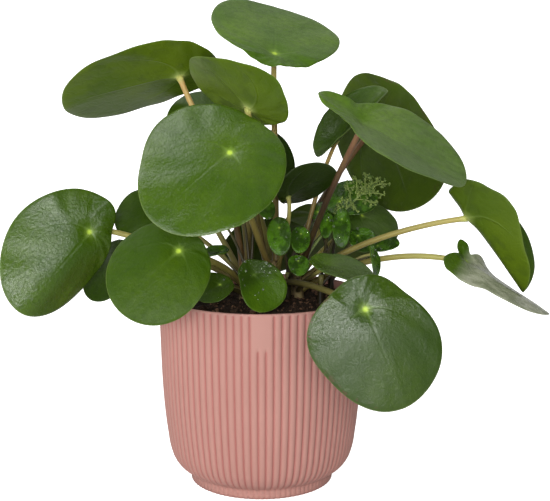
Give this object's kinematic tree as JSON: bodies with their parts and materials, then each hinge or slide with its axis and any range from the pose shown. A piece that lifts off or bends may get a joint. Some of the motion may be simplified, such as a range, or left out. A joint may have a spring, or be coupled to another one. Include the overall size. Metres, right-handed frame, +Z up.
{
  "type": "potted pilea plant",
  "caption": "Potted pilea: round shield-shaped leaves on long arching petioles, growing from short woody stems in a ribbed pink plastic pot filled with soil.",
  "frame": {"origin": "middle of the pot's base, where it stands", "axes": "+Z up along the pot's axis, -Y towards the front, where the smooth plate is, +X to the right seen from the front"},
  "size_m": [0.3613, 0.2258, 0.3281],
  "materials": {
    "pot": "matte dusty pink moulded plastic",
    "soil": "damp dark potting soil with fine bark crumbs",
    "stem": "brown-green bark with leaf scars",
    "petiole": "smooth olive green leaf stalk",
    "blade": "thick glossy dark green leaf, paler beneath"
  },
  "bodies": {
    "root": {"pot": "pot", "soil": "soil", "stem_main": "stem", "stem_left": "stem", "stem_right": "stem", "blade_crown": "blade", "petiole_crown": "petiole", "blade_upper_left": "blade", "petiole_upper_left": "petiole", "blade_upper_mid": "blade", "petiole_upper_mid": "petiole", "blade_front_big": "blade", "petiole_front_big": "petiole", "blade_back_small": "blade", "petiole_back_small": "petiole", "blade_left_mid": "blade", "petiole_left_mid": "petiole", "blade_far_left": "blade", "petiole_far_left": "petiole", "blade_left_lower": "blade", "petiole_left_lower": "petiole", "blade_left_dark": "blade", "petiole_left_dark": "petiole", "blade_dark_behind": "blade", "petiole_dark_behind": "petiole", "blade_dark_mid": "blade", "petiole_dark_mid": "petiole", "blade_small_folded": "blade", "petiole_small_folded": "petiole", "blade_right_upper": "blade", "petiole_right_upper": "petiole", "blade_right_back": "blade", "petiole_right_back": "petiole", "blade_right_mid": "blade", "petiole_right_mid": "petiole", "blade_right_far": "blade", "petiole_right_far": "petiole", "blade_right_low": "blade", "petiole_right_low": "petiole", "blade_front_right": "blade", "petiole_front_right": "petiole", "blade_low_right": "blade", "petiole_low_right": "petiole", "blade_low_centre": "blade", "petiole_low_centre": "petiole", "blade_low_left": "blade", "petiole_low_left": "petiole", "blade_back_top": "blade", "petiole_back_top": "petiole", "blade_back_left": "blade", "petiole_back_left": "petiole", "blade_back_right": "blade", "petiole_back_right": "petiole", "blade_back_low": "blade", "petiole_back_low": "petiole", "shoot_main": "blade", "shoot_right": "blade", "shoot_back": "blade", "shoot_left": "blade", "flower_spray": "petiole"}
  },
  "joints": []
}
